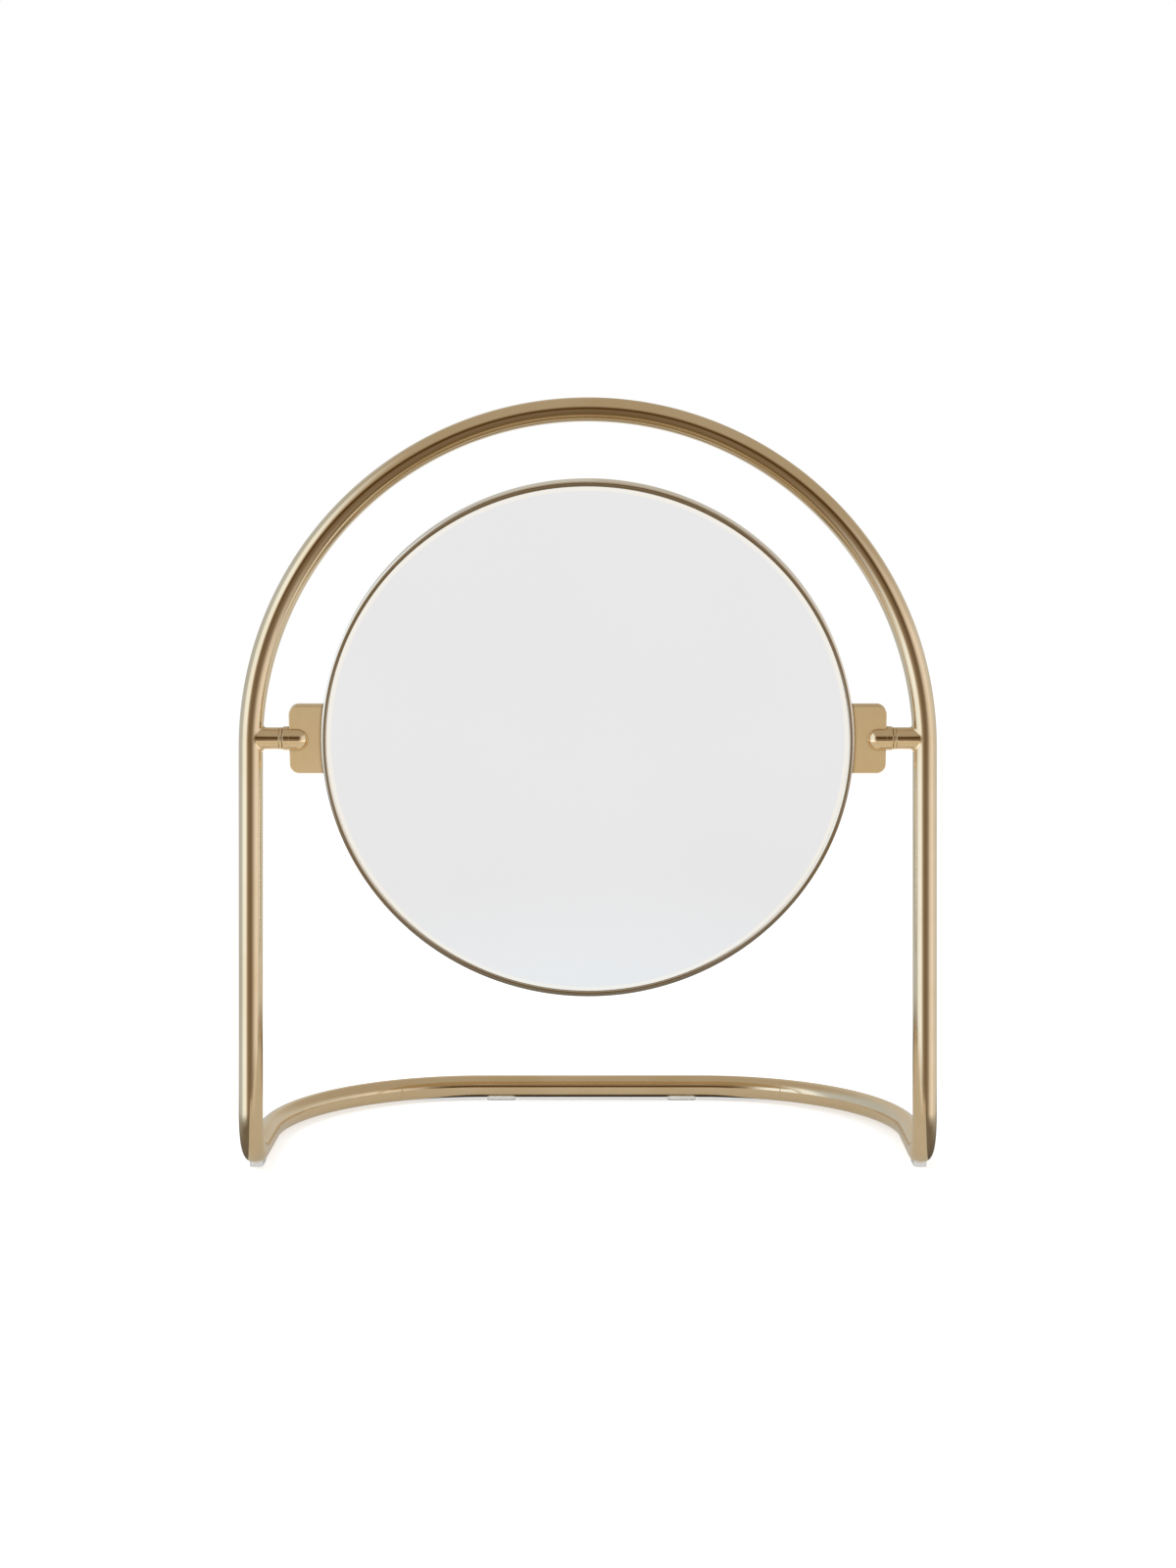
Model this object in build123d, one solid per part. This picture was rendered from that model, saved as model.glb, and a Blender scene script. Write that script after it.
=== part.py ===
from build123d import *
import os
from math import acos, cos, degrees, radians, sin

# A round table mirror in a brass loop. A bent tube makes the arch, the two legs, the foot
# bends and the front of the base. A solid rod closes the loop behind and keeps the weight
# low and back. The framed mirror turns between the legs on two short pivots.
# X runs to the right, Y away from the person at the mirror, and Z up. The origin lies on
# the table, under the middle of the whole object. All sizes are in millimetres.

# Stand
WIDTH = 260.0  # over both legs
HEIGHT = 290.0  # from the table to the top of the arch
TUBE_DIAMETER = 9.0
TUBE_WALL = 1.0
LOOP_DEPTH = 130.0  # from the arch back to the rear bar, centre to centre
CORNER_RADIUS = 80.0  # of the two rear corners
FOOT_RADIUS = 18.5  # of the bend from a leg into the base
SEAM_X = 81.0  # where tube and rod meet, on each rear corner
SEAM_CHAMFER = 0.15
SPIGOT_LENGTH = 14.0  # of the rod's turned end, inside the tube
GLUE_GAP = 0.05  # around the spigot
BRAZE_GAP = 0.01  # between brazed or pressed pieces

# Clear pads under the loop
PAD_DROP = 1.0  # from the lowest line of the loop to the table
PAD_HEIGHT = 1.7
PAD_LENGTH = 12.0
PAD_WIDTH = 5.0
PAD_CORNER = 1.8
FRONT_PAD_Y = 1.0  # behind the end of the foot bend
REAR_PAD_X = 38.0

# Pivots, from the leg inwards
PIVOT_ABOVE_ARCH_CENTRE = 3.0
STUB_DIAMETER = 8.2
STUB_END_X = 114.7
STUB_CHAMFER = 0.3
WASHER_THICKNESS = 1.2
WASHER_CHAMFER = 0.2
WASHER_PLAY = 0.1
BARREL_DIAMETER = 9.0
BARREL_NOSE_X = 103.5
BARREL_CHAMFER = 0.3
PIN_DIAMETER = 4.0
PIN_PLAY = 0.05  # on the radius, where the pin turns in its bush
PIN_INNER_X = 106.9
PIN_OUTER_X = 120.5
PIN_CHAMFER = 0.3
BUSH_DIAMETER = 6.0
BUSH_INNER_X = 106.4
BORE_INNER_X = 106.2

# Mirror head
TILT = 11.0  # degrees that the top leans towards the viewer
RIM_DROP = 1.3  # how far the mirror's middle hangs below the pivots
RIM_DIAMETER = 198.0
RIM_DEPTH = 7.0
RIM_WALL = 1.2
RIM_EDGE = 0.4  # chamfer on both outer edges
LIP_WIDTH = 2.0  # of the front edge that holds the glass in
LIP_DEPTH = 0.8
SEAT_GAP = 0.1  # around the glass and the cover
GLASS_THICKNESS = 3.0
GLASS_CHAMFER = 0.4
BOARD_THICKNESS = 1.2
BOARD_GAP = 0.5
COVER_THICKNESS = 0.8
COVER_DISH = 0.4  # how far the middle of the cover is pressed in
COVER_FLAT = 9.0  # width of the cover's outer border
COVER_SLOPE = 3.0
SPRING_WIDTH = 1.0  # of the split ring, in from the wall
SPRING_THICKNESS = 0.7
SPRING_GROOVE = 0.35
SPRING_OPENING = 6.0  # degrees left open in the split ring
TAB_OUTER_X = 111.0
TAB_HEIGHT = 26.0
TAB_THICKNESS = 4.0
TAB_CORNER = 3.5
TAB_EDGE = 0.3  # chamfer on the front and back outline

# Worked out from the sizes above
TUBE_R = TUBE_DIAMETER / 2
BORE_R = TUBE_R - TUBE_WALL
ARCH_R = WIDTH / 2 - TUBE_R
ARCH_Z = HEIGHT - WIDTH / 2
BASE_Z = PAD_DROP + TUBE_R
PIVOT_Z = ARCH_Z + PIVOT_ABOVE_ARCH_CENTRE
RIM_R = RIM_DIAMETER / 2
SEAT_R = RIM_R - RIM_WALL
STUB_R = STUB_DIAMETER / 2
BARREL_R = BARREL_DIAMETER / 2
PIN_R = PIN_DIAMETER / 2
BUSH_R = BUSH_DIAMETER / 2
BARREL_END_X = STUB_END_X - WASHER_THICKNESS - WASHER_PLAY
# Depths inside the rim, counted back from its front edge
GLASS_BACK = LIP_DEPTH + GLASS_THICKNESS
BOARD_BACK = GLASS_BACK + BOARD_THICKNESS
COVER_BACK = BOARD_BACK + COVER_THICKNESS
GROOVE_BACK = COVER_BACK + SPRING_THICKNESS + GLUE_GAP

# The arch stands where the whole object, leaning mirror included, is centred front to back
RIM_TOP = RIM_R - RIM_EDGE - RIM_DROP
LEAN_REACH = RIM_TOP * sin(radians(TILT)) + RIM_DEPTH / 2 * cos(radians(TILT))
ARCH_Y = (LEAN_REACH - LOOP_DEPTH - TUBE_R) / 2

RIGHT = Vector(1, 0, 0)
BACK = Vector(0, 1, 0)
UP = Vector(0, 0, 1)
SIDES = {"left": -1, "right": 1}


def arc(centre, radius, first, second, start, end):
    """An arc about centre from start to end degrees, turning from first towards second."""
    points = []
    for angle in (start, (start + end) / 2, end):
        turn = first * cos(radians(angle)) + second * sin(radians(angle))
        points.append(centre + turn * radius)
    return ThreePointArc(*points)


CORNER_CENTRE = Vector(ARCH_R - CORNER_RADIUS, ARCH_Y + LOOP_DEPTH - CORNER_RADIUS, BASE_Z)
SEAM_ANGLE = degrees(acos((SEAM_X - CORNER_CENTRE.X) / CORNER_RADIUS))


def corner(start, end):
    """Part of the right rear corner: 0 degrees at the side, 90 at the rear bar."""
    return arc(CORNER_CENTRE, CORNER_RADIUS, RIGHT, BACK, start, end)


def right_side():
    """The loop's centre line from the seam, round the right foot, to the top of the leg."""
    foot_y = ARCH_Y + FOOT_RADIUS
    foot_z = BASE_Z + FOOT_RADIUS
    foot_centre = Vector(ARCH_R, foot_y, foot_z)
    return [
        corner(SEAM_ANGLE, 0),
        Line((ARCH_R, CORNER_CENTRE.Y, BASE_Z), (ARCH_R, foot_y, BASE_Z)),
        arc(foot_centre, FOOT_RADIUS, -UP, -BACK, 0, 90),
        Line((ARCH_R, ARCH_Y, foot_z), (ARCH_R, ARCH_Y, ARCH_Z)),
    ]


def arch_line():
    """The arch's centre line, a half circle from the right leg to the left."""
    return arc(Vector(0, ARCH_Y, ARCH_Z), ARCH_R, RIGHT, UP, 0, 180)


def mirrored(edges):
    """The same centre line on the left, in the order that carries on from the right."""
    return [edge.mirror(Plane.YZ) for edge in reversed(edges)]


def tube_line():
    """The whole tube's centre line, from the right seam over the arch to the left seam."""
    side = right_side()
    return Wire(side + [arch_line()] + mirrored(side))


def rod_line():
    """The rear rod's centre line, from seam to seam."""
    part = [corner(SEAM_ANGLE, 90)]
    rear_y = ARCH_Y + LOOP_DEPTH
    half = CORNER_CENTRE.X
    return Wire(part + [Line((half, rear_y, BASE_Z), (-half, rear_y, BASE_Z))] + mirrored(part))


def swept(path, radius, bore=None):
    """A round bar, or with a bore a tube, along a centre line."""
    start = Plane(origin=path @ 0, z_dir=path % 0)
    section = Circle(radius)
    if bore:
        section -= Circle(bore)
    return sweep(start * section, path=path)


def seam_rims(solid):
    """The outer edges of a solid's two ends at the seams."""
    found = []
    for edge in solid.edges().filter_by(GeomType.CIRCLE):
        if abs(edge.radius - TUBE_R) < BRAZE_GAP and abs(abs(edge.arc_center.X) - SEAM_X) < BRAZE_GAP:
            found.append(edge)
    return found


def make_arch_tube():
    """Arch, legs, foot bends and the front of the base, bent from one length of tube."""
    tube = swept(tube_line(), TUBE_R, BORE_R)
    return chamfer(seam_rims(tube), SEAM_CHAMFER)


def make_base_rod():
    """The solid rear of the loop, with its ends turned down to plug into the tube."""
    rod = swept(rod_line(), TUBE_R)
    rod = chamfer(seam_rims(rod), SEAM_CHAMFER)
    spigot_turn = degrees(SPIGOT_LENGTH / CORNER_RADIUS)
    spigot_line = Wire([corner(SEAM_ANGLE, SEAM_ANGLE - spigot_turn)])
    spigot = swept(spigot_line, BORE_R - GLUE_GAP)
    return rod + spigot + spigot.mirror(Plane.YZ)


def pad(width_x, length_y, x, y):
    """A clear pad with its flat side on the table and its top hollowed to fit the loop."""
    block = extrude(RectangleRounded(width_x, length_y, PAD_CORNER), PAD_HEIGHT)
    loop = swept(tube_line(), TUBE_R) + swept(rod_line(), TUBE_R)
    return Pos(x, y, 0) * block - loop


def round_bar(radius, x_from, x_to):
    """A round bar along X from one place to another."""
    return extrude(Plane.YZ.offset(x_from) * Circle(radius), x_to - x_from)


def make_stub():
    """The right stub, bored for the pin and hollowed at its root to fit round the leg."""
    bar = round_bar(STUB_R, STUB_END_X, ARCH_R)
    bar = chamfer(bar.edges().group_by(Axis.X)[0], STUB_CHAMFER)
    bar -= round_bar(PIN_R + BRAZE_GAP, STUB_END_X - 1, ARCH_R)
    leg_line = Wire([right_side()[-1], arch_line()])
    return Pos(0, ARCH_Y, PIVOT_Z) * bar - swept(leg_line, TUBE_R + BRAZE_GAP)


def make_washer():
    """The right washer, between the stub and the turning barrel."""
    washer = round_bar(STUB_R, STUB_END_X - WASHER_THICKNESS, STUB_END_X)
    washer = chamfer(washer.edges(), WASHER_CHAMFER)
    hole = round_bar(PIN_R + PIN_PLAY, STUB_END_X - 2 * WASHER_THICKNESS, STUB_END_X + 1)
    return Pos(0, ARCH_Y, PIVOT_Z) * (washer - hole)


def make_pin():
    """The right steel pin, pressed into the stub and free in the bush."""
    pin = chamfer(round_bar(PIN_R, PIN_INNER_X, PIN_OUTER_X).edges(), PIN_CHAMFER)
    return Pos(0, ARCH_Y, PIVOT_Z) * pin


def make_barrel():
    """The right barrel: a ball-nosed cap, slotted over the tab and bored for the bush."""
    ball_x = BARREL_NOSE_X + BARREL_R
    with BuildPart() as barrel:
        with BuildSketch(Plane.XY):
            with BuildLine():
                nose = CenterArc((ball_x, 0), BARREL_R, 90, 90)
                Line(nose @ 0, (BARREL_END_X - BARREL_CHAMFER, BARREL_R))
                Line((BARREL_END_X - BARREL_CHAMFER, BARREL_R), (BARREL_END_X, BARREL_R - BARREL_CHAMFER))
                Line((BARREL_END_X, BARREL_R - BARREL_CHAMFER), (BARREL_END_X, 0))
                Line((BARREL_END_X, 0), nose @ 1)
            make_face()
        revolve(axis=Axis.X)
    bore = round_bar(BUSH_R + BRAZE_GAP, BORE_INNER_X, BARREL_END_X + 1)
    slot_length = TAB_OUTER_X - BARREL_NOSE_X + 1
    slot = Box(slot_length, TAB_THICKNESS + 2 * BRAZE_GAP, BARREL_DIAMETER + 1)
    slot = Pos(TAB_OUTER_X - slot_length / 2 + BRAZE_GAP, 0, 0) * slot
    return barrel.part - bore - slot


def make_bush():
    """The right friction bush, pressed into the barrel."""
    bush = round_bar(BUSH_R, BUSH_INNER_X, BARREL_END_X)
    return bush - round_bar(PIN_R + PIN_PLAY, BUSH_INNER_X - 1, BARREL_END_X + 1)


def make_tab():
    """The right tab: a plate with two round corners, notched where the barrel's bore runs."""
    length = TAB_OUTER_X
    plate = Pos(TAB_OUTER_X - length / 2, 0) * Rectangle(length, TAB_HEIGHT)
    plate = fillet(plate.vertices().group_by(Axis.X)[-1], TAB_CORNER)
    tab = extrude(Plane.XZ * plate, TAB_THICKNESS / 2, both=True)
    outline = tab.edges().filter_by(Plane.XZ)
    tab = chamfer([e for e in outline if (e @ 0.5).X > RIM_R / 2], TAB_EDGE)
    notch_length = TAB_OUTER_X - BORE_INNER_X
    notch = Box(2 * notch_length, 2 * TAB_THICKNESS, BUSH_DIAMETER + 2 * BRAZE_GAP)
    rim_space = extrude(Plane.XZ * Circle(RIM_R + BRAZE_GAP), TAB_THICKNESS, both=True)
    return tab - Pos(TAB_OUTER_X, 0, 0) * notch - Pos(0, 0, -RIM_DROP) * rim_space


def ring_section(points):
    """A closed face through (radius, depth) points, ready to turn about the mirror's axis."""
    front = -RIM_DEPTH / 2
    return make_face(Polyline(*[(radius, front + depth) for radius, depth in points], close=True))


def turned(section, turn=360):
    """A section in the XY plane turned about the mirror's own axis, which is Y."""
    return revolve(section, Axis.Y, revolution_arc=turn)


def make_rim():
    """The band round the mirror: a front lip, a thin wall and a groove for the split ring."""
    return turned(
        ring_section(
            [
                (RIM_R - RIM_EDGE, 0),
                (RIM_R, RIM_EDGE),
                (RIM_R, RIM_DEPTH - RIM_EDGE),
                (RIM_R - RIM_EDGE, RIM_DEPTH),
                (SEAT_R, RIM_DEPTH),
                (SEAT_R, GROOVE_BACK),
                (SEAT_R + SPRING_GROOVE, GROOVE_BACK),
                (SEAT_R + SPRING_GROOVE, COVER_BACK),
                (SEAT_R, COVER_BACK),
                (SEAT_R, LIP_DEPTH),
                (RIM_R - LIP_WIDTH, LIP_DEPTH),
                (RIM_R - LIP_WIDTH, 0),
            ]
        )
    )


def make_retaining_ring():
    """The split spring ring behind the cover, seated in the rim's groove, open at the bottom."""
    outer = SEAT_R + SPRING_GROOVE - GLUE_GAP
    inner = outer - SPRING_WIDTH
    back = COVER_BACK + SPRING_THICKNESS
    section = ring_section([(inner, COVER_BACK), (outer, COVER_BACK), (outer, back), (inner, back)])
    return Rot(0, 90 + SPRING_OPENING / 2, 0) * turned(section, 360 - SPRING_OPENING)


def make_glass():
    """The mirror glass, with a small chamfer on its front edge."""
    radius = SEAT_R - SEAT_GAP
    points = [
        (0, LIP_DEPTH),
        (radius - GLASS_CHAMFER, LIP_DEPTH),
        (radius, LIP_DEPTH + GLASS_CHAMFER),
        (radius, GLASS_BACK),
        (0, GLASS_BACK),
    ]
    return turned(ring_section(points))


def make_board():
    """The flat board between the glass and the cover, hollowed for the cover's dish."""
    radius = SEAT_R - BOARD_GAP
    flat = SEAT_R - COVER_FLAT
    points = [
        (0, GLASS_BACK),
        (radius, GLASS_BACK),
        (radius, BOARD_BACK),
        (flat, BOARD_BACK),
        (flat - COVER_SLOPE, BOARD_BACK - COVER_DISH),
        (0, BOARD_BACK - COVER_DISH),
    ]
    return turned(ring_section(points))


def make_cover():
    """The thin pressed disc that closes the back, with its middle set in a little."""
    radius = SEAT_R - SEAT_GAP
    flat = SEAT_R - COVER_FLAT
    points = [
        (0, BOARD_BACK - COVER_DISH),
        (flat - COVER_SLOPE, BOARD_BACK - COVER_DISH),
        (flat, BOARD_BACK),
        (radius, BOARD_BACK),
        (radius, COVER_BACK),
        (flat, COVER_BACK),
        (flat - COVER_SLOPE, COVER_BACK - COVER_DISH),
        (0, COVER_BACK - COVER_DISH),
    ]
    return turned(ring_section(points))


def leaning(solid):
    """A piece of the head, built upright about the pivots, in its place at rest."""
    return Pos(0, ARCH_Y, PIVOT_Z) * Rot(TILT, 0, 0) * solid


def save(solid, name):
    """Writes one piece to its own file, under the name of its node."""
    solid.label = name
    export_step(solid, os.path.join("parts", name + ".step"))


def on_side(solid, sign):
    """A right-hand piece, or its mirror image where sign is negative."""
    return solid if sign > 0 else solid.mirror(Plane.YZ)


def main():
    """Builds every piece and writes it out."""
    os.makedirs("parts", exist_ok=True)

    save(make_arch_tube(), "arch_tube")
    save(make_base_rod(), "base_rod")
    round_pieces = {
        "rim": make_rim(),
        "mirror_glass": make_glass(),
        "backing_board": make_board(),
        "rear_cover": make_cover(),
        "retaining_ring": make_retaining_ring(),
    }
    for name, solid in round_pieces.items():
        save(leaning(Pos(0, 0, -RIM_DROP) * solid), name)

    # The two sides are mirror images of each other
    right_pieces = {
        "pivot_stub": make_stub(),
        "pivot_washer": make_washer(),
        "pivot_pin": make_pin(),
        "foot_pad_front": pad(PAD_WIDTH, PAD_LENGTH, ARCH_R, ARCH_Y + FOOT_RADIUS + FRONT_PAD_Y),
        "foot_pad_rear": pad(PAD_LENGTH, PAD_WIDTH, REAR_PAD_X, ARCH_Y + LOOP_DEPTH),
        "pivot_barrel": leaning(make_barrel()),
        "pivot_bush": leaning(make_bush()),
        "tab": leaning(make_tab()),
    }
    for side, sign in SIDES.items():
        for name, solid in right_pieces.items():
            save(on_side(solid, sign), name + "_" + side)


main()
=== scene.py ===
import logging
from dataclasses import dataclass, field
from enum import Enum
from typing import Any, Sequence

import bpy
import numpy as np
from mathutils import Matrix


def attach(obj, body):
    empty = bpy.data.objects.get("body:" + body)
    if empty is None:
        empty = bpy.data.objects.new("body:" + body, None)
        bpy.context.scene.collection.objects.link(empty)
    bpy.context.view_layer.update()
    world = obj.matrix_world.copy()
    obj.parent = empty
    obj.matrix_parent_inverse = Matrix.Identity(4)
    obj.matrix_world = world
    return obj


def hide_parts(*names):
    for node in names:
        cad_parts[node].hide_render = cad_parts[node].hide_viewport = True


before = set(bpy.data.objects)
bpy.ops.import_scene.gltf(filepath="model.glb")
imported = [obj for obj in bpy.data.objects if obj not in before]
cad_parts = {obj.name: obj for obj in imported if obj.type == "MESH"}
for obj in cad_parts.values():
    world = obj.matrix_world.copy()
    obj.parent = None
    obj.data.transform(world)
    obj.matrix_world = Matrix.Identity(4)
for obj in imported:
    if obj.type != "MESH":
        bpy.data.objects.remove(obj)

# A round table mirror in a loop of polished brass tube. Shapes are worked out in millimetres,
# with X to the right, Y away from the person at the mirror and Z up, and a mesh gets metres.

Array = np.ndarray
Colour = tuple[float, float, float, float]
MM = 0.001
LOG = logging.getLogger("table_mirror")

# Beside each rounded corner one more point stands this far off, in millimetres, but never by
# more than this share of the flat.
LEAD = 0.05
LEAD_SHARE = 0.2


class Body(Enum):
    """The two bodies that pieces ride on."""

    STAND = "stand"
    HEAD = "mirror_head"


class Side(Enum):
    """The two sides of the stand, as the sign of X."""

    LEFT = -1
    RIGHT = 1

    def named(self, piece: str) -> str:
        """The name of a piece on this side."""
        return f"{piece}_{self.name.lower()}"

    def placed(self, points: Array) -> Array:
        """Right-hand points, or their mirror image on the left."""
        return points * np.array([self.value, 1.0, 1.0])


class Grain(Enum):
    """How the lines of polishing or turning run on a metal piece."""

    ALONG = "along the bar"
    TURNED = "round the axis"
    BLASTED = "no direction"


# Surfaces


@dataclass(frozen=True)
class Skin:
    """A closed surface of rings, each of the same number of points.

    Attributes:
        rings: Points in millimetres, one row for each ring, shape (rows, columns, 3).
        looped: Whether the last ring joins the first. Otherwise a flat face closes each end.
        lengths: Distance along the piece at each ring, in millimetres.
    """

    rings: Array
    looped: bool = False
    lengths: Array | None = None

    def row_lengths(self) -> Array:
        """Measures along the first column.

        Returns:
            The distance at each ring, with one more entry where the rings are looped.
        """
        if self.lengths is not None:
            found = self.lengths
        else:
            steps = np.linalg.norm(np.diff(self.rings[:, 0], axis=0), axis=1)
            found = np.concatenate([[0.0], np.cumsum(steps)])
        if self.looped:
            gap = np.linalg.norm(self.rings[0, 0] - self.rings[-1, 0])
            found = np.append(found, found[-1] + gap)
        return found

    def corners(self) -> tuple[Array, Array, Array]:
        """Numbers the corners of all faces.

        Returns:
            The point of each corner, the place of each corner as (metres along, turns round),
            and the number of corners of each face.
        """
        rows, columns = self.rings.shape[:2]
        last = rows if self.looped else rows - 1
        row, column = np.meshgrid(np.arange(last), np.arange(columns), indexing="ij")
        down = np.stack([row, row, row + 1, row + 1], axis=-1).reshape(-1)
        round_ = np.stack([column, column + 1, column + 1, column], axis=-1).reshape(-1)
        sizes = np.full(last * columns, 4)
        if not self.looped:
            edge = np.arange(columns)
            down = np.concatenate([down, np.zeros(columns, int), np.full(columns, rows - 1)])
            round_ = np.concatenate([round_, edge[::-1], edge])
            sizes = np.append(sizes, [columns, columns])
        points = (down % rows) * columns + round_ % columns
        places = np.stack([self.row_lengths()[down] * MM, round_ / columns], axis=-1)
        return points, places, sizes

    def volume_sign(self) -> float:
        """Positive where the rings run so that the faces point outwards.

        The sum over all quads of a corner's dot product with the cross product of the
        quad's diagonals is six times the volume within, taken about the middle of the piece.

        Returns:
            1 or -1.
        """
        own = self.rings - self.rings.mean(axis=(0, 1))
        first = own if self.looped else own[:-1]
        second = np.roll(own, -1, axis=0) if self.looped else own[1:]
        a, b = first, np.roll(first, -1, axis=1)
        c, d = np.roll(second, -1, axis=1), second
        total = np.sum(a * np.cross(c - a, d - b)) / 2
        if not self.looped:
            for ring, way in ((own[0], -1.0), (own[-1], 1.0)):
                fan = np.cross(ring - ring.mean(axis=0), np.roll(ring, -1, axis=0) - ring)
                total += way * np.sum(ring.mean(axis=0) * fan)
        return float(np.sign(total)) or 1.0


def put_in_scene(made: bpy.types.Object) -> bpy.types.Object:
    """Links a new object to the scene."""
    bpy.context.scene.collection.objects.link(made)
    return made


def make_object(name: str, skins: Sequence[Skin]) -> bpy.types.Object:
    """Puts skins into one mesh, in metres, with a map of where each corner lies.

    Args:
        name: The object's name.
        skins: The closed surfaces that make the piece.

    Returns:
        The new object, linked to the scene at the origin.
    """
    points, corner_points, places, sizes = [], [], [], []
    offset = 0
    for skin in skins:
        own, where, counts = skin.corners()
        if skin.volume_sign() < 0:
            starts = np.repeat(np.cumsum(counts) - counts, counts)
            turn = 2 * starts + np.repeat(counts, counts) - 1 - np.arange(len(own))
            own, where = own[turn], where[turn]
        points.append(skin.rings.reshape(-1, 3) * MM)
        corner_points.append(own + offset)
        places.append(where)
        sizes.append(counts)
        offset += points[-1].shape[0]
    all_sizes = np.concatenate(sizes)
    all_corners = np.concatenate(corner_points)
    mesh = bpy.data.meshes.new(name)
    mesh.vertices.add(offset)
    mesh.vertices.foreach_set("co", np.concatenate(points).astype(np.float32).reshape(-1))
    mesh.loops.add(len(all_corners))
    mesh.loops.foreach_set("vertex_index", all_corners.astype(np.int32))
    mesh.polygons.add(len(all_sizes))
    starts = (np.cumsum(all_sizes) - all_sizes).astype(np.int32)
    mesh.polygons.foreach_set("loop_start", starts)
    mesh.update(calc_edges=True)
    mesh.polygons.foreach_set("use_smooth", np.ones(len(all_sizes), dtype=bool))
    layer = mesh.uv_layers.new(name="Place")
    layer.uv.foreach_set("vector", np.concatenate(places).astype(np.float32).reshape(-1))
    mesh.validate()
    return put_in_scene(bpy.data.objects.new(name, mesh))


def full_turn(columns: int) -> Array:
    """The angles of a ring's points, evenly spaced round a circle."""
    return np.linspace(0, 2 * np.pi, columns, endpoint=False)


def rounded(corners: Array, radii: Array, closed: bool = True, steps: int = 5) -> Array:
    """Rounds the corners of a flat outline.

    Each corner p, reached along a and left along b, with a turn t between them, becomes an arc
    of radius r that starts r tan(t/2) before p. With n the side that b turns to, a point of the
    arc is its centre plus r (a sin s - n cos s), for s from 0 to t. One more point stands just
    before and just after each arc, so that the shading of flats stays flat.

    Args:
        corners: Points, shape (corners, 2).
        radii: The radius of each corner.
        closed: Whether the outline closes. Otherwise its two ends stay as they are.
        steps: Pieces in each arc.

    Returns:
        The rounded outline's points.
    """
    before = np.roll(corners, 1, axis=0)
    after = np.roll(corners, -1, axis=0)
    reach_a = np.linalg.norm(corners - before, axis=1, keepdims=True)
    reach_b = np.linalg.norm(after - corners, axis=1, keepdims=True)
    a = (corners - before) / reach_a
    b = (after - corners) / reach_b
    cosine = np.clip(np.sum(a * b, axis=1, keepdims=True), -1, 1)
    turn = np.maximum(np.arccos(cosine), 1e-4)
    n = (b - a * cosine) / np.sin(turn)
    r = radii[:, None]
    cut = r * np.tan(turn / 2)
    start = corners - a * cut
    centre = start + n * r
    s = turn[:, :, None] * np.linspace(0, 1, steps + 1)[None, :, None]
    arc = centre[:, None] + r[:, None] * (a[:, None] * np.sin(s) - n[:, None] * np.cos(s))
    lead = np.minimum(LEAD, LEAD_SHARE * np.minimum(reach_a, reach_b))
    first = (start - a * lead)[:, None]
    last = (corners + b * (cut + lead))[:, None]
    whole = np.concatenate([first, arc, last], axis=1)
    if closed:
        return whole.reshape(-1, 2)
    return np.concatenate([corners[:1], whole[1:-1].reshape(-1, 2), corners[-1:]])


def turned(profile: Array, columns: int, looped: bool, start: float = 0, turn: float = 360) -> Skin:
    """Turns a profile about the Y axis.

    A profile point (r, y) at the angle t goes to (r cos t, y, r sin t). A profile that is
    looped makes a ring; one that starts and ends near the axis makes a disc.

    Args:
        profile: Points as (radius, distance along Y).
        columns: Points in each ring.
        looped: Whether the profile closes on itself.
        start: Angle of the first column, in degrees.
        turn: Whole angle that the profile is turned by, in degrees.

    Returns:
        The turned surface.
    """
    whole = turn == 360
    if whole:
        angle = np.radians(start) + full_turn(columns)
    else:
        angle = np.radians(start + np.linspace(0, turn, columns))
    radius, y = profile[:, :1], profile[:, 1:]
    rings = np.stack([radius * np.cos(angle), y * np.ones_like(angle), radius * np.sin(angle)], axis=-1)
    return Skin(rings, looped) if whole else Skin(np.swapaxes(rings, 0, 1))


def along_x(skin: Skin) -> Skin:
    """A skin turned about Y, laid over so that its axis is X."""
    x, y, z = np.moveaxis(skin.rings, -1, 0)
    return Skin(np.stack([y, z, x], axis=-1), skin.looped, skin.lengths)


def moved(skin: Skin, points: Array) -> Skin:
    """The same skin with its points in another place."""
    return Skin(points, skin.looped, skin.lengths)


# Finishes


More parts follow.
